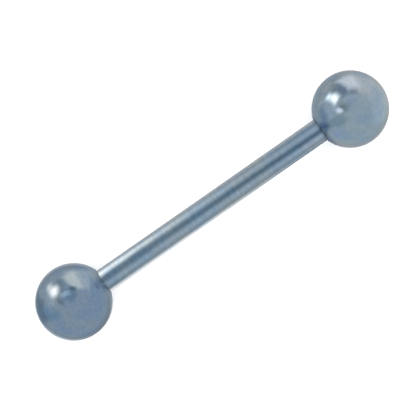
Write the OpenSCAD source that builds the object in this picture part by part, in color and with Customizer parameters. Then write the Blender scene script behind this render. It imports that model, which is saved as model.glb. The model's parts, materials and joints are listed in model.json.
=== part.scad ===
// Straight barbell: a plain polished bar, threaded at both ends, with a screw-on ball on each end.
// The bar lies along X. The piece rests on its two balls, on the plane z = 0, with x = 0 at mid length.
// All sizes are in millimetres.

/* [Bar] */
// Diameter of the bar, 14 gauge
bar_d = 1.6; // [1.4:0.1:2.0]
// Length of the plain shaft from shoulder to shoulder
shaft_l = 17.6; // [8:0.4:40]
// Width of the bevel at the edge of each shoulder
shoulder_bevel = 0.1; // [0.04:0.02:0.14]

/* [Thread] */
// Pitch of the thread, one turn's rise
thread_pitch = 0.35; // [0.3:0.05:0.4]
// Length of the threaded end past its shoulder
thread_l = 2.9; // [2.3:0.1:3.1]
// How far the thread's crest lies under the bar's surface
crest_drop = 0.04; // [0.02:0.01:0.06]
// Depth of the thread from crest to root
thread_depth = 0.2; // [0.14:0.02:0.22]

/* [Balls] */
// Diameter of each ball
ball_d = 5; // [4.8:0.1:6]
// How far the shoulder stands in the ball, measured from the ball's widest outline on the axis
seat_depth = 0.45; // [0.3:0.05:0.5]
// Clearance between the thread's crest and the wall of the hole
bore_clearance = 0.03; // [0.02:0.005:0.035]
// Clearance round the bar in the seat, which is a short counterbore at the mouth of the hole
seat_clearance = 0.03; // [0.02:0.01:0.06]
// Gap between the shoulder and the bottom of the seat
seat_gap = 0.03; // [0.02:0.01:0.05]
// Width of the bevel round the mouth of the seat
mouth_bevel = 0.05; // [0.03:0.01:0.1]
// Room left past the end of the thread inside the ball
tip_room = 0.25; // [0.15:0.05:0.35]

/* [Hidden] */

// Facets on round forms
$fn = 96;

bar_r = bar_d / 2;
ball_r = ball_d / 2;

// Steps round one turn of the thread
turn_steps = 20;
crest_r = bar_r - crest_drop;
root_r = crest_r - thread_depth;
// Share of the pitch that the flat crest takes
crest_share = 0.14;
// Plain neck between the shoulder and the first turn, and how far the neck is sunk in the shaft
neck_l = 0.12;
neck_sink = 0.4;
// Plain point at the tip: its length, its radius just inside the root's facets, and its bevel
point_l = 0.4;
point_r = root_r * cos(180 / turn_steps) - 0.015;
point_bevel = 0.12;
point_sink = 0.1;
// The root line climbs from the neck to the point in whole steps
helix_steps = floor((thread_l - point_l - neck_l) / thread_pitch * turn_steps);
// The crest rises from the root and sinks back to it over this many steps
fade_steps = 10;
// Height of the flat end that carries the point
thread_end = thread_l - point_l + 0.03;

bore_r = crest_r + bore_clearance;
seat_r = bar_r + seat_clearance;
mouth_r = seat_r + mouth_bevel;
// Distances from a ball's centre, positive towards the bar
shoulder_at = ball_r - seat_depth;
seat_floor_at = shoulder_at - seat_gap;
mouth_at = sqrt(ball_r * ball_r - mouth_r * mouth_r);
// The hole, the seat and its bevel are cut this far past where they end, clear of the ball's surface
cut_overrun = 1;
hole_end_at = shoulder_at - thread_l - tip_room;
// Depth of the drill's pointed end, for a point angle of 118 degrees
drill_point = bore_r / tan(59);

ball_x = shaft_l / 2 + shoulder_at;

// Height of the thread's root line after some steps
function rise(step) = neck_l + thread_pitch * step / turn_steps;

// Step of the last point on the crest, one turn below the end of the root line
last = helix_steps - turn_steps;

// How far the crest stands out at a step, from 0 at the ends of the helix to 1
function crest_out(step) = min(1, step / fade_steps, (last - step) / fade_steps);

function thread_point_at(step, r, z) =
    [r * cos(360 * step / turn_steps), r * sin(360 * step / turn_steps), z];

// A point on the thread's crest, at a height given as a share of the pitch above the root line
function crest_point(step, share) =
    thread_point_at(step, root_r + thread_depth * crest_out(step), rise(step) + thread_pitch * share);

// The two triangles between neighbouring steps of a lower line and an upper line
function band(lower, upper) =
    [[lower[0], upper[0], lower[1]], [lower[1], upper[0], upper[1]]];

// A screw thread round the z axis as one closed form: plain neck, helix and flat end.
// Three lines run along the helix: its root, and the lower and upper edges of its crest.
module thread() {
    roots = [for (i = [0:helix_steps]) thread_point_at(i, root_r, rise(i))];
    lows = [for (i = [0:last]) crest_point(i, (1 - crest_share) / 2)];
    highs = [for (i = [0:last]) crest_point(i, (1 + crest_share) / 2)];
    neck = [for (i = [0:turn_steps - 1]) thread_point_at(i, root_r, -neck_sink)];
    top = [for (i = [0:turn_steps - 1]) thread_point_at(last + i, root_r, thread_end)];
    // Where each line's points start in the list of all points
    low = len(roots);
    high = low + len(lows);
    bottom = high + len(highs);
    end = bottom + turn_steps;
    helix_faces = [for (i = [0:last - 1]) each concat(
        band([i, i + 1], [low + i, low + i + 1]),
        band([low + i, low + i + 1], [high + i, high + i + 1]),
        band([high + i, high + i + 1], [i + turn_steps, i + turn_steps + 1])
    )];
    // The neck meets one turn of the root line, and closes on the foot of the profile
    neck_faces = [for (i = [0:turn_steps - 2]) each
        band([bottom + i, bottom + i + 1], [i, i + 1])];
    foot = [bottom + turn_steps - 1, bottom, 0, low, high, turn_steps];
    foot_faces = [for (i = [0:len(foot) - 2]) [foot[i], turn_steps - 1, foot[i + 1]]];
    // The flat end meets the last turn of the root line, and closes on the head of the profile
    top_faces = [for (i = [1:turn_steps - 1]) each
        band([last + i, last + i + 1], [end + i, end + (i + 1) % turn_steps])];
    head = [last, low + last, high + last, helix_steps, end, end + 1];
    head_faces = [for (i = [0:len(head) - 2]) [head[i], head[i + 1], last + 1]];
    caps = [
        [for (i = [0:turn_steps - 1]) bottom + i],
        [for (i = [0:turn_steps - 1]) end + turn_steps - 1 - i]
    ];
    polyhedron(
        points = concat(roots, lows, highs, neck, top),
        faces = concat(helix_faces, neck_faces, foot_faces, top_faces, head_faces, caps),
        convexity = 6
    );
}

// The plain point on the thread's flat end, with a bevelled edge
module thread_point() {
    translate([0, 0, thread_end - point_sink])
        cylinder(r = point_r, h = thread_l - thread_end + point_sink - point_bevel);
    translate([0, 0, thread_l - point_bevel])
        cylinder(r1 = point_r, r2 = point_r - point_bevel, h = point_bevel);
}

// One threaded end, standing on its shoulder along z
module threaded_end() {
    thread();
    thread_point();
}

// The plain shaft along z, centred, with a bevel at both shoulders
module shaft() {
    plain_l = shaft_l - 2 * shoulder_bevel;
    cylinder(r = bar_r, h = plain_l, center = true);
    for (side = [0, 1])
        mirror([0, 0, side])
            translate([0, 0, plain_l / 2])
                cylinder(r1 = bar_r, r2 = bar_r - shoulder_bevel, h = shoulder_bevel);
}

// The bar: shaft and both threaded ends in one piece
module bar() {
    color("lightsteelblue")
        translate([0, 0, ball_r])
            rotate([0, 90, 0]) {
                shaft();
                for (side = [0, 180])
                    rotate([0, side, 0])
                        translate([0, 0, shaft_l / 2])
                            threaded_end();
            }
}

// A ball centred on the origin, with its hole opening towards +z
module ball() {
    difference() {
        sphere(r = ball_r);
        // The hole for the thread
        translate([0, 0, hole_end_at])
            cylinder(r = bore_r, h = seat_floor_at - hole_end_at + cut_overrun);
        // The drill's pointed end
        translate([0, 0, hole_end_at - drill_point])
            cylinder(r1 = 0, r2 = bore_r, h = drill_point);
        // The seat for the bar's shoulder
        translate([0, 0, seat_floor_at])
            cylinder(r = seat_r, h = cut_overrun);
        // The bevel round its mouth, 90 degrees across
        translate([0, 0, mouth_at - mouth_bevel])
            cylinder(r1 = seat_r, r2 = mouth_r + cut_overrun, h = mouth_bevel + cut_overrun);
    }
}

// Screw-on ball at the -x end
module ball_left() {
    color("slategray")
        translate([-ball_x, 0, ball_r])
            rotate([0, 90, 0])
                ball();
}

// Screw-on ball at the +x end
module ball_right() {
    color("slategray")
        translate([ball_x, 0, ball_r])
            rotate([0, -90, 0])
                ball();
}

bar();
ball_left();
ball_right();
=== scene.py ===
# %% [markdown]
# Straight barbell in polished titanium.
#
# The real object is a piece of body jewellery: a round bar 1.6 mm thick, threaded at both ends, with a
# 5 mm ball screwed onto each end. It could be modelled with three stock shapes, but its looks come from
# what a lathe and a polishing drum leave behind: soft edges, a seat where bar and ball meet, and a skin
# that mirrors the room. So every piece here is turned as a profile round the bar's axis, and the light
# gets as much care as the metal.
#
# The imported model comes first, because every piece is placed by its bodies and sizes.

# %% Load the frame
import json
import math

import bpy
import numpy as np
from mathutils import Matrix, Vector


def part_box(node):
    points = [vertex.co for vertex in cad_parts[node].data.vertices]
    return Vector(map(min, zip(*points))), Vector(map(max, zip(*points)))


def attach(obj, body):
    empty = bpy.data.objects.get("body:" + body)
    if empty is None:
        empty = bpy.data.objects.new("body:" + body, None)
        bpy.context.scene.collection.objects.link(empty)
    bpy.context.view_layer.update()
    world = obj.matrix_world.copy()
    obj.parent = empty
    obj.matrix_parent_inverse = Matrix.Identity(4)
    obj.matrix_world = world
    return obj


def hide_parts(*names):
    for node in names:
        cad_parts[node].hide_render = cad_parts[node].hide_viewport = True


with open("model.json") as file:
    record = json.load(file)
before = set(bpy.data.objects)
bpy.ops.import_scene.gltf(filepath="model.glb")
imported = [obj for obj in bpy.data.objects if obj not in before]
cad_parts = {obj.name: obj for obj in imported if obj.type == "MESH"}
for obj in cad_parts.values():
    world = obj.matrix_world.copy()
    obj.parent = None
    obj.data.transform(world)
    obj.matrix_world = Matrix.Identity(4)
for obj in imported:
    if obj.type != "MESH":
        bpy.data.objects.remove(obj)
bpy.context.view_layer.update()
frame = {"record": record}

# %% [markdown]
# Sizes. The frame is in metres and a jeweller works in millimetres, so one name turns one into the
# other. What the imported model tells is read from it: the mount "shaft" holds the bar's radius and the
# length of its plain part, and the boxes of the nodes hold the balls and the tips. The balls' sizes are
# rounded to a hundredth, because their meshes have facets. Thread and seat sizes are those of the
# construction.

# %% Sizes
MM = 0.001
shaft = frame["record"]["mounts"][0]["dims"]
ball_low, ball_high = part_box("ball_left")
bar_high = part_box("bar")[1]

BAR_R = shaft["r_mm"] * MM
BALL_R = round((ball_high.z - ball_low.z) / 2 / MM, 2) * MM
BALL_X = round(-ball_low.x / MM, 2) * MM - BALL_R
AXIS_Z = BALL_R
TIP_X = bar_high.x
BEVEL = 0.1 * MM
SHOULDER_X = shaft["length_mm"] / 2 * MM + BEVEL

THREAD_PITCH = 0.35 * MM
THREAD_NECK = 0.12 * MM
THREAD_TURNS = 5.8
THREAD_DEPTH = 0.2 * MM
CREST_R = 0.76 * MM
ROOT_R = CREST_R - THREAD_DEPTH
CREST_SHARE = 0.14
POINT_STEP = 0.02 * MM
POINT_R = ROOT_R - POINT_STEP
POINT_BEVEL = 0.12 * MM

SEAT_R = 0.83 * MM
SEAT_FLOOR_AT = 2.02 * MM
MOUTH_BEVEL = 0.05 * MM
MOUTH_R = SEAT_R + MOUTH_BEVEL
MOUTH_AT = math.sqrt(BALL_R**2 - MOUTH_R**2)
SEAM_X = BALL_X - MOUTH_AT
HOLE_R = 0.79 * MM
HOLE_END_AT = -1.1 * MM
DRILL_POINT_ANGLE = 118

print(f"bar {2 * BAR_R / MM:.2f} mm thick, balls {2 * BALL_R / MM:.2f} mm")
print(f"the balls' centres are {2 * BALL_X / MM:.2f} mm apart")

# %% [markdown]
# Camera. The piece lies on a pale table and is seen from straight above, with the bar climbing to the
# right at 34.9 degrees. A long lens about 15 centimetres up keeps both balls the same size. The frame
# is square and 26.8 mm wide at the height of the bar, and the middle of the bar sits about 0.3 mm off
# its centre. Blender takes a lens and its sensor in millimetres, so those two are plain numbers.

# %% Camera
BAR_CLIMB = math.radians(34.9)
FIELD = 26.79 * MM
LENS = 200
SENSOR = 36
MIDDLE_RIGHT = 0.265 * MM
MIDDLE_UP = 0.166 * MM
NEAREST = 1 * MM
FARTHEST = 2000 * MM

camera_data = bpy.data.cameras.new("camera")
camera_data.lens = LENS
camera_data.sensor_width = SENSOR
camera_data.clip_start = NEAREST
camera_data.clip_end = FARTHEST
camera = bpy.data.objects.new("camera", camera_data)
bpy.context.scene.collection.objects.link(camera)
roll = Matrix.Rotation(-BAR_CLIMB, 4, "Z")
height = FIELD * LENS / SENSOR
camera.matrix_world = (
    roll @ Matrix.Translation((-MIDDLE_RIGHT, -MIDDLE_UP, 0)) @ Matrix.Translation((0, 0, AXIS_Z + height))
)
bpy.context.scene.camera = camera
print(f"camera {height / MM:.1f} mm above the bar, field {FIELD / MM:.2f} mm")

# %% [markdown]
# Turning. Bar and balls all come off a lathe, so one function makes them: it takes stations along the
# axis, each with a radius for every angle, and skins them into one closed mesh. A radius that changes
# with the angle gives the thread, which a spun profile can't. The other ways, a screw modifier or a
# helix joined by a boolean, leave seams.
#
# Sharp corners catch no light and look drawn, and a polishing drum rounds them off. So each corner of a
# profile is first cut back and replaced by a short curve. Where two curves or two forms meet at the same
# place, one of the two stations is dropped, so that the mesh has no empty faces.

# %% Turning tools
SEGMENTS = 128
ANGLES = np.linspace(0, 2 * math.pi, SEGMENTS, endpoint=False)
POLISHED = 0
THREADED = 1
TOUCHING = 0.0001 * MM


def soften(points, reach, steps=4):
    """Rounds the inner corners of a profile, each curve starting at most reach before its corner."""
    points = [Vector(p) for p in points]
    rounded = [points[0]]
    for before, corner, after in zip(points, points[1:], points[2:]):
        back = min(reach, (before - corner).length / 2, (after - corner).length / 2)
        start = corner + (before - corner).normalized() * back
        end = corner + (after - corner).normalized() * back
        for step in range(steps + 1):
            t = step / steps
            rounded.append(start * (1 - t) ** 2 + corner * 2 * t * (1 - t) + end * t**2)
    return rounded + [points[-1]]


def plain(points):
    """Stations of a plain round surface through (place, radius) points."""
    return [(x, np.full(SEGMENTS, r), POLISHED) for x, r in points]


def distinct(stations):
    """Stations without those that touch the one before, which would leave faces with no area."""
    kept = [stations[0]]
    for x, radii, finish in stations[1:]:
        step = max(abs(x - kept[-1][0]), np.abs(radii - kept[-1][1]).max())
        if step > TOUCHING:
            kept.append((x, radii, finish))
    return kept


def turned(name, stations, centre):
    """A closed mesh turned about the X axis through centre. Its first and last stations are on the axis."""
    rings = distinct(stations[1:-1])
    verts = [(stations[0][0], 0, 0)]
    for x, radii, _ in rings:
        verts += list(zip(np.full(SEGMENTS, x), radii * np.cos(ANGLES), radii * np.sin(ANGLES)))
    verts.append((stations[-1][0], 0, 0))
    faces = [(0, 1 + (i + 1) % SEGMENTS, 1 + i) for i in range(SEGMENTS)]
    finish = [POLISHED] * SEGMENTS
    for ring, (this, following) in enumerate(zip(rings, rings[1:])):
        low = 1 + ring * SEGMENTS
        for i in range(SEGMENTS):
            j = (i + 1) % SEGMENTS
            faces.append((low + i, low + j, low + SEGMENTS + j, low + SEGMENTS + i))
            finish.append(min(this[2], following[2]))
    low = 1 + (len(rings) - 1) * SEGMENTS
    faces += [(len(verts) - 1, low + i, low + (i + 1) % SEGMENTS) for i in range(SEGMENTS)]
    finish += [POLISHED] * SEGMENTS
    mesh = bpy.data.meshes.new(name)
    mesh.from_pydata([tuple(map(float, v)) for v in verts], [], faces)
    mesh.polygons.foreach_set("material_index", finish)
    mesh.polygons.foreach_set("use_smooth", [True] * len(faces))
    mesh.validate()
    piece = bpy.data.objects.new(name, mesh)
    piece.location = centre
    bpy.context.scene.collection.objects.link(piece)
    print(f"{name}: {len(verts)} points, {len(faces)} faces")
    return piece


print(f"rings of {SEGMENTS} points, {360 / SEGMENTS:.1f} degrees apart")

# %% [markdown]
# The thread. A rolled M1.6 thread is a V-shaped ridge with a flat crest that climbs 0.35 mm a turn. At
# each place along the axis and each angle, the fraction of a turn since the last root says how high on
# the ridge a point lies. Right-hand threads climb the same way round at both ends, so one formula in x
# and the angle serves bar and balls.

# %% Thread form
STEPS_PER_PITCH = 20


def ridge(turns):
    """How high a point stands on the thread's ridge, from 0 in the root to 1 on the crest."""
    part = turns - np.floor(turns)
    return np.clip(np.minimum(part, 1 - part) / ((1 - CREST_SHARE) / 2), 0, 1)


def thread_on_bar(side):
    """Stations of the thread at one end of the bar, from the shoulder outwards."""
    length = THREAD_NECK + (THREAD_TURNS + 1) * THREAD_PITCH
    count = round(length / THREAD_PITCH * STEPS_PER_PITCH)
    for out in np.linspace(0, length, count + 1):
        turns = (out - THREAD_NECK) / THREAD_PITCH - (math.pi / 2 + side * ANGLES) / (2 * math.pi)
        along = (out - THREAD_NECK) / THREAD_PITCH - (turns - np.floor(turns))
        fade = np.clip(2 * np.minimum(along, THREAD_TURNS - along), 0, 1)
        radii = ROOT_R + THREAD_DEPTH * fade * ridge(turns)
        yield (side * (SHOULDER_X + out), radii, THREADED)


print(f"thread of {THREAD_TURNS} turns, {THREAD_PITCH / MM:.2f} mm a turn")

# %% [markdown]
# The bar. Its plain part is ground and polished. At each end it has a bevelled shoulder that sits in
# the ball, and behind that the thread and a short plain point that helps the ball to start straight.
#
# No polishing media reach into the corner where bar and ball meet, so it is duller there, and the crease
# there is darkened with painted shade, more of it at the right end. So each point of a piece also stores
# how dull it is and how much painted shade lies on it, for the materials to use.

# %% The bar
CORNER = 0.03 * MM
# How far the duller gloss and the painted shade reach from the seam, and how strong the painted shade is at
# the left and the right end
SEAM_SHADE_AND_DULLNESS_REACH = 0.2 * MM
PAINTED_SHADE_LEFT = 0.1
PAINTED_SHADE_RIGHT = 0.5
BAR_DULLNESS = 0.12


def bar_end(side):
    """Stations of one end of the bar, from the plain shaft outwards to the tip."""
    shoulder = [
        (SEAM_X - SEAM_SHADE_AND_DULLNESS_REACH, BAR_R),
        (SEAM_X, BAR_R),
        (SHOULDER_X - BEVEL, BAR_R),
        (SHOULDER_X, BAR_R - BEVEL),
        (SHOULDER_X, ROOT_R),
    ]
    thread = list(thread_on_bar(side))
    point = [
        (abs(thread[-1][0]) + POINT_STEP, POINT_R),
        (TIP_X - POINT_BEVEL, POINT_R),
        (TIP_X, POINT_R - POINT_BEVEL),
        (TIP_X, POINT_R / 4),
        (TIP_X, 0),
    ]
    plain_shoulder = plain([(side * x, r) for x, r in soften(shoulder, CORNER)])
    plain_point = plain([(side * x, r) for x, r in soften(point, CORNER)])
    return plain_shoulder + thread + plain_point


def mark_corner(piece, name, most, reach, x, radius):
    """Stores a value at each point, from most in the corner at x and radius to 0 from reach away."""
    stored = piece.data.attributes.get(name) or piece.data.attributes.new(name, "FLOAT", "POINT")
    for point, mark in zip(piece.data.vertices, stored.data):
        away = math.hypot(point.co.x - x, math.hypot(point.co.y, point.co.z) - radius)
        mark.value = max(mark.value, most * (1 - away / reach))


SHAFT_STATIONS = 48
SHAFT_SHORT_BY = 0.5 * MM
shaft_half = SHOULDER_X - SHAFT_SHORT_BY
shaft_stations = plain([(x, BAR_R) for x in np.linspace(-shaft_half, shaft_half, SHAFT_STATIONS)])
bar = turned("bar_polished", bar_end(-1)[::-1] + shaft_stations + bar_end(1), (0, 0, AXIS_Z))
# Duller gloss and painted shade in the crease round the seam at both ends
for side, residue in ((-1, PAINTED_SHADE_LEFT), (1, PAINTED_SHADE_RIGHT)):
    mark_corner(bar, "dullness", BAR_DULLNESS, SEAM_SHADE_AND_DULLNESS_REACH, side * SEAM_X, BAR_R)
    mark_corner(bar, "residue", residue, SEAM_SHADE_AND_DULLNESS_REACH, side * SEAM_X, BAR_R)

# %% [markdown]
# The balls. Each is a turned and tumbled ball with a blind hole, drilled and tapped. A short seat at
# its mouth, hardly wider than the bar, takes the bar's shoulder. The shadow in its gap and the painted
# shade beside it make the dark crease that rings the bar. The thread inside is cut outwards from the
# plain hole, so it stays clear of the bar's own thread while the ball is on.

# %% The balls
BALL_STEPS = 96
GROOVE_DEPTH = 0.07 * MM
MOUTH_REACH = 1.1 * MM
MOUTH_DULLNESS = 0.3


def tapped_hole(start, end):
    """Stations of the thread cut into a ball's hole, from one place on the ball's axis to another."""
    count = round((start - end) / THREAD_PITCH * STEPS_PER_PITCH)
    for x in np.linspace(start, end, count + 1):
        turns = x / THREAD_PITCH - ANGLES / (2 * math.pi)
        fade = min(1, (start - x) / THREAD_PITCH, (x - end) / THREAD_PITCH)
        yield (x, HOLE_R + GROOVE_DEPTH * fade * ridge(turns), THREADED)


def ball_stations():
    """Stations of a ball with its hole towards +X: the outside from the far pole, then the hole."""
    mouth_angle = math.asin(MOUTH_R / BALL_R)
    outside = [
        (BALL_R * math.cos(angle), BALL_R * math.sin(angle))
        for angle in np.linspace(math.pi, mouth_angle, BALL_STEPS)
    ]
    mouth = [
        outside[-2],
        outside[-1],
        (MOUTH_AT - MOUTH_BEVEL, SEAT_R),
        (SEAT_FLOOR_AT, SEAT_R),
        (SEAT_FLOOR_AT, HOLE_R),
        (SEAT_FLOOR_AT - 2 * CORNER, HOLE_R),
    ]
    drilled = [
        (HOLE_END_AT + THREAD_PITCH, HOLE_R),
        (HOLE_END_AT, HOLE_R),
        (HOLE_END_AT - HOLE_R / math.tan(math.radians(DRILL_POINT_ANGLE / 2)), 0),
    ]
    thread = list(tapped_hole(SEAT_FLOOR_AT - 3 * CORNER, HOLE_END_AT + 1.5 * THREAD_PITCH))
    return plain(outside[:-2]) + plain(soften(mouth, CORNER)) + thread + plain(soften(drilled, CORNER))


def half_turned(stations):
    """The ball turned half round, so that its hole is towards -X and its thread stays right-handed."""
    return [(-x, np.roll(radii[::-1], 1), finish) for x, radii, finish in reversed(stations)]


ball_left = turned("ball_left_polished", ball_stations(), (-BALL_X, 0, AXIS_Z))
ball_right = turned("ball_right_polished", half_turned(ball_stations()), (BALL_X, 0, AXIS_Z))
# Duller gloss round each ball's mouth, and painted shade in the crease by the bar
for ball, mouth_x, residue in (
    (ball_left, MOUTH_AT, PAINTED_SHADE_LEFT),
    (ball_right, -MOUTH_AT, PAINTED_SHADE_RIGHT),
):
    mark_corner(ball, "dullness", MOUTH_DULLNESS, MOUTH_REACH, mouth_x, MOUTH_R)
    mark_corner(ball, "residue", residue, SEAM_SHADE_AND_DULLNESS_REACH, mouth_x, MOUTH_R)

# %% [markdown]
# Colours. They are given as hex values, the way a colour picker shows them, and the renderer wants
# them linear. Metals have no colour of their own apart from what they mirror, so these are tints of a
# reflection.
#
# One function adds every kind of node. It fills an input by its name, with _ for a space, or by its
# number, as in0, where names repeat. A Mix node set to colours takes its share at 0 and its two colours
# at 6 and 7, and gives the result at output 2.

# %% Colour and node tools
def linear(hex_colour, strength=1.0):
    """A hex colour as linear red, green, blue and alpha, times a strength."""
    channels = [int(hex_colour[i : i + 2], 16) / 255 for i in (1, 3, 5)]
    light = [c / 12.92 if c <= 0.04045 else ((c + 0.055) / 1.055) ** 2.4 for c in channels]
    return [strength * c for c in light] + [1.0]


def add_node(tree, kind, settings=None, **sockets):
    """Adds a node, changes its settings, and fills its inputs with values or with other nodes' outputs."""
    made = tree.nodes.new(kind)
    for name, value in (settings or {}).items():
        setattr(made, name, value)
    for name, value in sockets.items():
        key = int(name[2:]) if name.startswith("in") and name[2:].isdigit() else name.replace("_", " ")
        socket = made.inputs[key]
        if isinstance(value, bpy.types.NodeSocket):
            tree.links.new(value, socket)
        else:
            socket.default_value = value
    return made


def new_material(name):
    """An empty material with its output node."""
    material = bpy.data.materials.new(name)
    material.use_nodes = True
    material.node_tree.nodes.clear()
    return material, add_node(material.node_tree, "ShaderNodeOutputMaterial")


print(f"a middle grey, #808080, is {linear('#808080')[0]:.3f} in linear light")

# %% [markdown]
# Polished titanium. The metal is Ti-6Al-4V, an implant grade. Tumbled with fine media and buffed, it
# mirrors like steel but darker and bluer, because a film of oxide a few thousandths of a micrometre
# thick tints it. Everything could go into one long function, but colour, gloss and relief are easier to
# follow one by one.
#
# Colour first. The film's tint drifts in clouds about a millimetre across. Fine haze from the polishing
# media dims and clears every fifth of a millimetre. Painted shade darkens the crease a fifth of a
# millimetre wide on either side of the seam. Noise seldom leaves the range of 0.3 to 0.7, so that range
# is stretched, and for the clouds a narrower one, which gives them clearer edges.

# %% Colour of the polished metal
CLOUD = 1.2 * MM
CLOUD_LOW = 0.38
CLOUD_HIGH = 0.62
HAZE = 0.22 * MM
HAZE_DIM = 0.92
HAZE_CLEAR = 1.08
NOISE_LOW = 0.3
NOISE_HIGH = 0.7
# Colour of the painted shade in the crease at the seam
PAINTED_SHADE_COLOUR = "#38434F"


def film_colour(tree, place, stretched, thin_film, thick_film):
    """Colour of the oxide film, from thin to thick, under haze and painted shade at the seam."""
    clouds = add_node(tree, "ShaderNodeTexNoise", Vector=place, Scale=1 / CLOUD, Detail=4.0, Roughness=0.45)
    film = add_node(
        tree, "ShaderNodeMapRange", Value=clouds.outputs["Fac"], From_Min=CLOUD_LOW, From_Max=CLOUD_HIGH
    )
    tint = add_node(
        tree,
        "ShaderNodeMix",
        {"data_type": "RGBA"},
        in0=film.outputs["Result"],
        in6=linear(thin_film),
        in7=linear(thick_film),
    )
    haze = add_node(tree, "ShaderNodeTexNoise", Vector=stretched, Scale=1 / HAZE, Detail=3.0, Roughness=0.6)
    shine = add_node(
        tree,
        "ShaderNodeMapRange",
        Value=haze.outputs["Fac"],
        From_Min=NOISE_LOW,
        From_Max=NOISE_HIGH,
        To_Min=HAZE_DIM,
        To_Max=HAZE_CLEAR,
    )
    hazy = add_node(
        tree,
        "ShaderNodeVectorMath",
        {"operation": "SCALE"},
        in0=tint.outputs[2],
        Scale=shine.outputs["Result"],
    )
    # Painted shade in the crease where bar and ball meet, mixed over the metal's colour
    residue = add_node(tree, "ShaderNodeAttribute", {"attribute_name": "residue"})
    seam_shaded = add_node(
        tree,
        "ShaderNodeMix",
        {"data_type": "RGBA"},
        in0=residue.outputs["Fac"],
        in6=hazy.outputs["Vector"],
        in7=linear(PAINTED_SHADE_COLOUR),
    )
    return seam_shaded.outputs[2]


print(f"clouds {CLOUD / MM:.1f} mm across, haze {HAZE / MM:.2f} mm")

# %% [markdown]
# Gloss. Faint smears change it from place to place. No polishing media reach into the corner where a
# ball meets the bar, so the dullness stored at the points of both is added to it there.

# %% Gloss of the polished metal
SMEAR = 0.9 * MM
GLOSSIEST = 0.09
LEAST_GLOSSY = 0.15


def smeared_gloss(tree, place):
    """Roughness of the skin, from its smears and the dullness stored at its points."""
    smears = add_node(tree, "ShaderNodeTexNoise", Vector=place, Scale=1 / SMEAR, Detail=4.0, Roughness=0.6)
    gloss = add_node(
        tree,
        "ShaderNodeMapRange",
        Value=smears.outputs["Fac"],
        From_Min=NOISE_LOW,
        From_Max=NOISE_HIGH,
        To_Min=GLOSSIEST,
        To_Max=LEAST_GLOSSY,
    )
    dullness = add_node(tree, "ShaderNodeAttribute", {"attribute_name": "dullness"})
    duller = add_node(
        tree,
        "ShaderNodeMath",
        {"operation": "ADD"},
        in0=dullness.outputs["Fac"],
        in1=gloss.outputs["Result"],
    )
    return duller.outputs["Value"]


print(f"smears {SMEAR / MM:.1f} mm across, roughness {GLOSSIEST} to {LEAST_GLOSSY}")

# %% [markdown]
# Relief. The skin is very slightly wavy, so that no reflection has a ruled edge. Buffing marks soften
# every edge a little more: they are 2 to 5 micrometres apart, too fine to show at this size, so they
# are drawn 60 apart.

# %% Relief of the polished metal
WAVE = 1.1 * MM
MARK = 0.06 * MM
MARK_HEIGHT = 0.0002 * MM


def buffed_relief(tree, place, stretched, wave_height):
    """Normal of the skin, from its waves and the buffing marks on them."""
    waves = add_node(tree, "ShaderNodeTexNoise", Vector=place, Scale=1 / WAVE, Detail=1.0)
    wavy = add_node(tree, "ShaderNodeBump", Height=waves.outputs["Fac"], Strength=1.0, Distance=wave_height)
    marks = add_node(tree, "ShaderNodeTexNoise", Vector=stretched, Scale=1 / MARK, Detail=2.0)
    buffed = add_node(
        tree,
        "ShaderNodeBump",
        Height=marks.outputs["Fac"],
        Strength=1.0,
        Distance=MARK_HEIGHT,
        Normal=wavy.outputs["Normal"],
    )
    return buffed.outputs["Normal"]


print(f"waves {WAVE / MM:.1f} mm long, buffing marks {MARK / MM:.2f} mm apart")

# %% [markdown]
# The two skins. The bar is ground and buffed while it spins, so its haze and marks run round it, and
# they spread its reflections along it. The Tangent node points round the bar and the shader spreads
# along the tangent, so a quarter turn is added. The balls are tumbled, and look the same in every
# direction.

# %% Ground bar and tumbled balls
QUARTER_TURN = 0.25


def polished_titanium(name, thin_film, thick_film, anisotropy, mark_stretch, wave_height):
    """Polished titanium. Its haze and marks are mark_stretch times longer round the axis than along it."""
    material, output = new_material(name)
    tree = material.node_tree
    place = add_node(tree, "ShaderNodeTexCoord").outputs["Object"]
    squeeze = (1.0, 1 / mark_stretch, 1 / mark_stretch)
    stretched = add_node(tree, "ShaderNodeMapping", Vector=place, Scale=squeeze).outputs["Vector"]
    round_axis = add_node(tree, "ShaderNodeTangent", {"direction_type": "RADIAL", "axis": "X"})
    metal = add_node(
        tree,
        "ShaderNodeBsdfPrincipled",
        Base_Color=film_colour(tree, place, stretched, thin_film, thick_film),
        Metallic=1.0,
        Roughness=smeared_gloss(tree, place),
        Anisotropic=anisotropy,
        Anisotropic_Rotation=QUARTER_TURN,
        Normal=buffed_relief(tree, place, stretched, wave_height),
        Tangent=round_axis.outputs["Tangent"],
    )
    tree.links.new(metal.outputs["BSDF"], output.inputs["Surface"])
    return material


bar_skin = polished_titanium(
    "titanium_ground_and_buffed",
    thin_film="#AABBCB",
    thick_film="#B7C0C6",
    anisotropy=0.4,
    mark_stretch=3,
    wave_height=0.008 * MM,
)
ball_skin = polished_titanium(
    "titanium_tumbled_and_buffed",
    thin_film="#A8B9CB",
    thick_film="#B5BFC5",
    anisotropy=0.0,
    mark_stretch=1,
    wave_height=0.006 * MM,
)
for skin in (bar_skin, ball_skin):
    print(f"{skin.name}: {len(skin.node_tree.nodes)} nodes")

# %% [markdown]
# The thread is the same metal, but rolled and tapped, not polished. It is satin, with tool lines that
# run round the axis, and its colour is darker towards the roots. A paint of dark and light stripes
# would do for one view, but a colour that follows the radius fits every ridge. Grain shifts that colour
# by up to a fifth of the thread's depth either way.

# %% Rolled and tapped thread
TOOL_LINE = 0.05 * MM
GRAIN = 0.15 * MM
LINE_HEIGHT = 0.002 * MM
LINE_STRETCH = 10
WEAR = 0.4
SATIN_LEAST = 0.24
SATIN_MOST = 0.4
ROOT_COLOUR = "#6E7A86"
CREST_COLOUR = "#B0BCC6"


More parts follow.
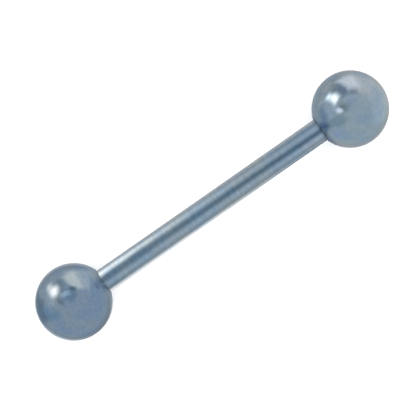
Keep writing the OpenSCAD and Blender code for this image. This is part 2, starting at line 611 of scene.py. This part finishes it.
def rolled_thread(name, root_r, crest_r):
    """Satin metal of a thread, darker towards the root radius."""
    material, output = new_material(name)
    tree = material.node_tree
    place = add_node(tree, "ShaderNodeTexCoord").outputs["Object"]
    across = add_node(tree, "ShaderNodeVectorMath", {"operation": "MULTIPLY"}, in0=place, in1=(0, 1, 1))
    radius = add_node(tree, "ShaderNodeVectorMath", {"operation": "LENGTH"}, in0=across.outputs["Vector"])
    depth = add_node(
        tree, "ShaderNodeMapRange", Value=radius.outputs["Value"], From_Min=root_r, From_Max=crest_r
    )
    grain = add_node(tree, "ShaderNodeTexNoise", Vector=place, Scale=1 / GRAIN, Detail=3.0)
    worn = add_node(
        tree,
        "ShaderNodeMath",
        {"operation": "MULTIPLY_ADD"},
        in0=grain.outputs["Fac"],
        in1=WEAR,
        in2=-WEAR / 2,
    )
    height = add_node(
        tree,
        "ShaderNodeMath",
        {"operation": "ADD", "use_clamp": True},
        in0=depth.outputs["Result"],
        in1=worn.outputs["Value"],
    )
    tint = add_node(
        tree,
        "ShaderNodeMix",
        {"data_type": "RGBA"},
        in0=height.outputs["Value"],
        in6=linear(ROOT_COLOUR),
        in7=linear(CREST_COLOUR),
    )
    squeeze = (1.0, 1 / LINE_STRETCH, 1 / LINE_STRETCH)
    stretched = add_node(tree, "ShaderNodeMapping", Vector=place, Scale=squeeze).outputs["Vector"]
    lines = add_node(tree, "ShaderNodeTexNoise", Vector=stretched, Scale=1 / TOOL_LINE)
    cut = add_node(tree, "ShaderNodeBump", Height=lines.outputs["Fac"], Strength=1.0, Distance=LINE_HEIGHT)
    gloss = add_node(
        tree, "ShaderNodeMapRange", Value=grain.outputs["Fac"], To_Min=SATIN_LEAST, To_Max=SATIN_MOST
    )
    metal = add_node(
        tree,
        "ShaderNodeBsdfPrincipled",
        Base_Color=tint.outputs[2],
        Metallic=1.0,
        Roughness=gloss.outputs["Result"],
        Normal=cut.outputs["Normal"],
    )
    tree.links.new(metal.outputs["BSDF"], output.inputs["Surface"])
    return material


bar_thread = rolled_thread("titanium_rolled_thread", ROOT_R, CREST_R)
hole_thread = rolled_thread("titanium_tapped_thread", HOLE_R, HOLE_R + GROOVE_DEPTH)

for piece, finishes in {
    bar: (bar_skin, bar_thread),
    ball_left: (ball_skin, hole_thread),
    ball_right: (ball_skin, hole_thread),
}.items():
    for finish in finishes:
        piece.data.materials.append(finish)
    print(f"{piece.name}: {', '.join(finish.name for finish in finishes)}")

# %% [markdown]
# Each piece rides on its body, so that it moves with it, and stands for its CAD node, which is hidden.
# The record's slot for it is printed. Here the bodies and the nodes have the same names.

# %% Bodies, nodes and slots
for piece, body, slot in (
    (bar, "bar", "polished_bar"),
    (ball_left, "ball_left", "polished_ball"),
    (ball_right, "ball_right", "polished_ball"),
):
    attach(piece, body)
    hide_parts(body)
    print(f"{piece.name} rides on {body}, slot {slot}")

# %% [markdown]
# The studio. A mirror-bright piece shows its surroundings more than itself, so a jewellery photographer
# hangs it in a tent of pale cloth and pins cards inside. Here each piece has a tent of its own, linked
# to it alone, so that the light on one can be set without touching the others. A tent is a large ball
# of light that no camera sees. Its cards are soft-edged ovals and squares in its shader, and each
# covers what was pinned before it. A card's reach is the distance from its centre in half sizes, so its
# edge lies at 1.

# %% A card in a tent's shader
TENT_R = 60 * MM
EDGE = 1.0


def card(aim, half, colour, strength=1.0, turn=0, softness=0.8, square=False):
    """One card: where it hangs, its half sizes, its light, its turn, how soft its edge is, its form."""
    return {
        "aim": aim,
        "half": half,
        "light": linear(colour, strength),
        "turn": turn,
        "softness": softness,
        "square": square,
    }


def lay_over(tree, under, over, measure, start, end):
    """One light laid over another, none of it where the measure is start, all of it where it is end."""
    share = add_node(
        tree,
        "ShaderNodeMapRange",
        {"interpolation_type": "SMOOTHSTEP"},
        Value=measure,
        From_Min=start,
        From_Max=end,
    )
    both = add_node(
        tree, "ShaderNodeMix", {"data_type": "RGBA"}, in0=share.outputs["Result"], in6=under, in7=over
    )
    return both.outputs[2]


def pin_card(tree, under, place, centre, turn, size, card):
    """Lays one card over the light under it. Centre and size are in the units of place."""
    local = add_node(
        tree,
        "ShaderNodeMapping",
        {"vector_type": "TEXTURE"},
        Vector=place,
        Location=centre,
        Rotation=turn,
        Scale=size,
    ).outputs["Vector"]
    if card["square"]:
        away = add_node(tree, "ShaderNodeVectorMath", {"operation": "ABSOLUTE"}, in0=local)
        x, y, z = add_node(tree, "ShaderNodeSeparateXYZ", Vector=away.outputs["Vector"]).outputs
        larger = add_node(tree, "ShaderNodeMath", {"operation": "MAXIMUM"}, in0=x, in1=y)
        reach = add_node(
            tree, "ShaderNodeMath", {"operation": "MAXIMUM"}, in0=larger.outputs["Value"], in1=z
        )
    else:
        reach = add_node(tree, "ShaderNodeVectorMath", {"operation": "LENGTH"}, in0=local)
    return lay_over(tree, under, card["light"], reach.outputs["Value"], EDGE, EDGE - card["softness"])


print(f"a tent is {2 * TENT_R / MM:.0f} mm across")

# %% [markdown]
# A ball mirrors everything round it, so its cards are aimed by direction alone: an azimuth from +X and
# a tilt from straight up, with half sizes as angles. Seen from above, the skin halfway out to the rim
# tilts by 30 degrees and mirrors what hangs 60 degrees off straight up. The tent's cloth darkens towards
# the table under the ball, and that gives the ball its dark rim, because a ball's rim mirrors what is
# below and behind it.

# %% The light round a ball
STRAIGHT_DOWN = -1.0
SHADE_STARTS = -0.3


def ball_light(cloth, shade, cards):
    """The light in a ball's tent: cloth, darkening to shade underneath, with cards pinned over it in turn."""
    def lit(tree, place):
        unit = add_node(tree, "ShaderNodeVectorMath", {"operation": "NORMALIZE"}, in0=place)
        direction = unit.outputs["Vector"]
        height = add_node(tree, "ShaderNodeSeparateXYZ", Vector=direction).outputs["Z"]
        light = lay_over(tree, linear(cloth), linear(shade), height, SHADE_STARTS, STRAIGHT_DOWN)
        for card in cards:
            azimuth, tilt = (math.radians(angle) for angle in card["aim"])
            aim = Matrix.Rotation(azimuth, 3, "Z") @ Matrix.Rotation(tilt, 3, "Y")
            aim = aim @ Matrix.Rotation(math.radians(card["turn"]), 3, "Z")
            size = [math.sin(math.radians(half)) for half in card["half"]] + [1.0]
            centre = aim @ Vector((0, 0, 1))
            light = pin_card(tree, light, direction, centre, aim.to_euler(), size, card)
        return light
    return lit


print(f"cloth round a ball darkens from {math.degrees(math.acos(SHADE_STARTS)):.0f} degrees off straight up")

# %% [markdown]
# The bar is long and thin, and mirrors in bands. Its cards are aimed by an angle round it from straight
# up and a place along it in millimetres, so that a band can fade towards one end as it does on the real
# bar.

# %% The light round the bar
DEGREES_A_UNIT = 10
UNDER_STARTS = -0.75


def bar_light(cloth, shade, cards):
    """The light in the bar's tent: cloth with cards pinned over it in turn, and shade below."""
    def lit(tree, place):
        parts = add_node(tree, "ShaderNodeSeparateXYZ", Vector=place).outputs
        angle = add_node(tree, "ShaderNodeMath", {"operation": "ARCTAN2"}, in0=parts["Y"], in1=parts["Z"])
        around = add_node(
            tree,
            "ShaderNodeMath",
            {"operation": "MULTIPLY"},
            in0=angle.outputs["Value"],
            in1=math.degrees(1) / DEGREES_A_UNIT,
        )
        along = add_node(tree, "ShaderNodeMath", {"operation": "DIVIDE"}, in0=parts["X"], in1=MM)
        unrolled = add_node(
            tree, "ShaderNodeCombineXYZ", X=around.outputs["Value"], Y=along.outputs["Value"], Z=0.0
        ).outputs["Vector"]
        light = linear(cloth)
        for card in cards:
            centre = (card["aim"][0] / DEGREES_A_UNIT, card["aim"][1], 0)
            size = (card["half"][0] / DEGREES_A_UNIT, card["half"][1], 1)
            turn = (0, 0, math.radians(card["turn"]))
            light = pin_card(tree, light, unrolled, centre, turn, size, card)
        height = add_node(tree, "ShaderNodeMath", {"operation": "COSINE"}, in0=angle.outputs["Value"])
        return lay_over(tree, light, linear(shade), height.outputs["Value"], UNDER_STARTS, STRAIGHT_DOWN)
    return lit


print(f"cloth round the bar darkens from {math.degrees(math.acos(UNDER_STARTS)):.0f} degrees off straight up")

# %% [markdown]
# A tent lights its own piece and nothing else, by light linking. It adds its glow to a clear shader, so
# that one tent doesn't hide the next. It is only seen in reflections, because metal shows nothing else.

# %% Hanging a tent
HIDDEN_FROM = ("camera", "diffuse", "transmission", "shadow")


def tent(piece, lit):
    """Hangs a tent of light round one piece, seen only by that piece and only as a reflection."""
    name = "tent_of_" + piece.name
    bpy.ops.mesh.primitive_ico_sphere_add(subdivisions=4, radius=TENT_R, location=piece.location)
    dome = bpy.context.object
    dome.name = name
    material, output = new_material(name)
    tree = material.node_tree
    place = add_node(tree, "ShaderNodeTexCoord").outputs["Object"]
    glow = add_node(tree, "ShaderNodeEmission", Color=lit(tree, place))
    clear = add_node(tree, "ShaderNodeBsdfTransparent")
    both = add_node(tree, "ShaderNodeAddShader", in0=glow.outputs["Emission"], in1=clear.outputs["BSDF"])
    tree.links.new(both.outputs["Shader"], output.inputs["Surface"])
    material.cycles.emission_sampling = "NONE"
    dome.data.materials.append(material)
    for ray in HIDDEN_FROM:
        setattr(dome, "visible_" + ray, False)
    receivers = bpy.data.collections.new(name)
    receivers.objects.link(piece)
    dome.light_linking.receiver_collection = receivers
    print(f"{name}: {len(tree.nodes)} nodes")


print("a tent is hidden from these rays:", ", ".join(HIDDEN_FROM))

# %% [markdown]
# The left ball. It mirrors a soft key light up on the left and a pale panel above the bar, with the
# dark lens and its clamp between the two.

# %% The left ball's tent
tent(ball_left, ball_light("#ACBBCA", "#8C9096", [
    # Low down: a pale glow, a darker cloth on the far left, and a grey one behind on the right
    card((175, 150), (85, 30), "#DFE8EE", turn=60, softness=1.0),
    card((160, 120), (28, 46), "#8697A6", turn=85, softness=0.6, square=True),
    card((35, 165), (55, 35), "#BFC6CC", turn=80, softness=0.4),
    # The shade round the bar
    card((0, 114), (20, 20), "#98ABB9"),
    # The pale panel with its fold low down on the right, and the brighter panel before it
    card((24, 119), (28, 26), "#C6D0D2", softness=1.0),
    card((40, 80), (45, 32), "#D5DBDD", turn=20, softness=0.5, square=True),
    card((57, 69), (41, 21), "#F3F6F5", turn=30, softness=0.5, square=True),
    # The dark frame between panel and key light, the lens, its clamp, the bright gap beside them, and
    # the frame's dark corner
    card((105, 57), (70, 24), "#30546A", turn=-35, softness=1.0),
    card((70, 27), (34, 23), "#92A8B8", turn=-10, softness=0.5),
    card((138, 44), (8, 26), "#596B7F", turn=-115, softness=1.0),
    card((100, 35), (11, 21), "#CCDFEA", turn=-25, softness=0.7, square=True),
    card((55, 41), (10, 17), "#6C8494", softness=1.0),
    # A bluer cloth on the left, and the haze of the key light over it
    card((170, 74), (40, 24), "#91ADC2", turn=-25, softness=0.5),
    card((125, 67), (50, 85), "#CCD3D4", softness=1.0),
    # The key light and its glow
    card((116, 89), (20, 14), "#FFF7F0", 1.3, turn=-15, softness=1.0),
    card((116, 67), (23, 23), "#FFF6EE", 2.5, softness=1.0),
]))

# %% [markdown]
# The right ball. It is nearer to the key light, so that the light shows as a bright corner, with a
# small lamp under it. Its right side faces a paler cloth, there is a lavender panel at the top, and a
# deep blue shade by the bar.

# %% The right ball's tent
tent(ball_right, ball_light("#C0CED5", "#C0BEBC", [
    # Low down: a grey cloth behind the key light, and a paler one on the right
    card((105, 130), (38, 84), "#B2BCC1", turn=-50, softness=0.2),
    card((-35, 105), (62, 34), "#D5DFE3", turn=35, softness=0.6),
    # A warm white cloth that takes in the whole right side
    card((34, 85), (60, 86), "#ECE8E2", turn=20, softness=0.7, square=True),
    # The lens with its clamp, and the bluer cloths on the bar's side
    card((155, 40), (26, 84), "#869192", turn=-70, softness=1.0),
    card((172, 72), (25, 84), "#A4BAC2", turn=60, softness=0.3),
    card((140, 66), (33, 32), "#C2CED6", turn=-70, softness=0.2, square=True),
    card((166, 95), (24, 45), "#95A8BB", turn=-5),
    # A lavender glow low on the bar's side, and the deep blue shade by the bar
    card((206, 99), (20, 15), "#B8C4DC"),
    card((187, 142), (34, 21), "#41548A", turn=17),
    # The small lamp, and the key light
    card((155, 36), (17, 11), "#F3F6FF", 1.4, turn=-15),
    card((96, 65), (25, 36), "#FEFFF6", 2.7, softness=0.6, square=True),
    # The dark frame that cuts off the key light's upper side, and the lavender panel behind it
    card((84, 88), (25, 39), "#A5B1B7", turn=60, softness=0.6, square=True),
    card((72, 59), (30, 39), "#93A1AD", turn=5, softness=0.7, square=True),
    card((57, 85), (37, 24), "#FAF9FF", 1.1, turn=24, softness=0.6, square=True),
]))

# %% [markdown]
# The bar. It mirrors the key light as a bright line that fades to the right, a pale band below it, and
# between them the dark slot that the camera looks through. Further out, where only slanting views look,
# hang strips that give the bar bright and dark lines from the sides too. A ball mirrors the bar, and
# the bar the tent's far end, so the cloths that close the ends set how dark the corner between bar and
# ball is.

# %% The bar's tent
STRIPS_AT = 34
STRIPS_HALF = 18
END_STRIPS = [
    card((angle, side * STRIPS_AT), (half, STRIPS_HALF), colour, strength, softness=0.5, square=True)
    for side in (-1, 1)
    for angle, half, colour, strength in (
        (0, 180, "#8296A6", 1.0),
        (75, 34, "#E4ECF2", 1.3),
        (8, 20, "#667D90", 1.0),
        (-30, 13, "#FFFFFF", 1.4),
        (-75, 24, "#6A8092", 1.0),
    )
]
tent(bar, bar_light("#8A9EAB", "#A9B4BC", [
    # Lower side: a pale cloth at the rim, a greyer one to the right, and a broad one all along
    card((-125, -4), (60, 70), "#FFF8F3", 1.6, turn=-18, softness=0.9),
    card((-25, 25), (75, 42), "#B2B9BC", turn=-12, softness=0.3),
    card((-44, 2), (50, 90), "#C6D4DE", softness=1.0),
    # Upper side: a cloth that fades to the right, and the key light past the left end
    card((79, -8), (53, 22), "#F7FDFF", 1.1, turn=12, softness=1.0),
    card((78, -27), (70, 25), "#FFF3E4", 4.5, turn=-2, softness=1.0),
    # The cloth past the right end, the upper rim, and the paler gap next to the right ball
    card((-8, 24), (56, 38), "#D9E4EB", turn=19, softness=1.0),
    card((160, -4), (90, 76), "#DCDAD8", turn=3, softness=0.7),
    card((-36, 12), (60, 3), "#DCE2EB", turn=22, softness=0.6),
    # The dark slot
    card((-18, 21), (43, 30), "#30647F", turn=4, softness=1.0),
    # The strips, and the cloths that close the tent's two ends
    *END_STRIPS,
    card((0, 64), (360, 20), "#BECBDC", softness=0.5, square=True),
    card((0, -64), (360, 24), "#7A96B6", softness=0.5, square=True),
]))

# %% [markdown]
# The table and the room. The piece lies on matt white paper, lit evenly from all round and a little
# over full white, as for a catalogue picture, so that hardly any shadow shows from above. The metal
# mirrors its tents instead of the paper and the room, so neither is seen in reflections.

# %% Table and room
TABLE_SIZE = 2000 * MM
PAPER_WHITE = "#F4F4F4"
ROOM_WHITE = "#FFFFFF"
ROOM_LIGHT = 1.8

bpy.ops.mesh.primitive_plane_add(size=TABLE_SIZE, location=(0, 0, 0))
table = bpy.context.object
table.name = "table"
paper, paper_output = new_material("matt_white_paper")
matt = add_node(paper.node_tree, "ShaderNodeBsdfDiffuse", Color=linear(PAPER_WHITE))
paper.node_tree.links.new(matt.outputs["BSDF"], paper_output.inputs["Surface"])
table.data.materials.append(paper)
table.visible_glossy = False

room = bpy.data.worlds.new("room")
room.use_nodes = True
background = room.node_tree.nodes["Background"]
background.inputs["Color"].default_value = linear(ROOM_WHITE)
background.inputs["Strength"].default_value = ROOM_LIGHT
room.cycles_visibility.glossy = False
bpy.context.scene.world = room
bpy.context.scene.view_settings.view_transform = "Standard"
print(f"table {TABLE_SIZE / MM:.0f} mm across, room light {ROOM_LIGHT}")
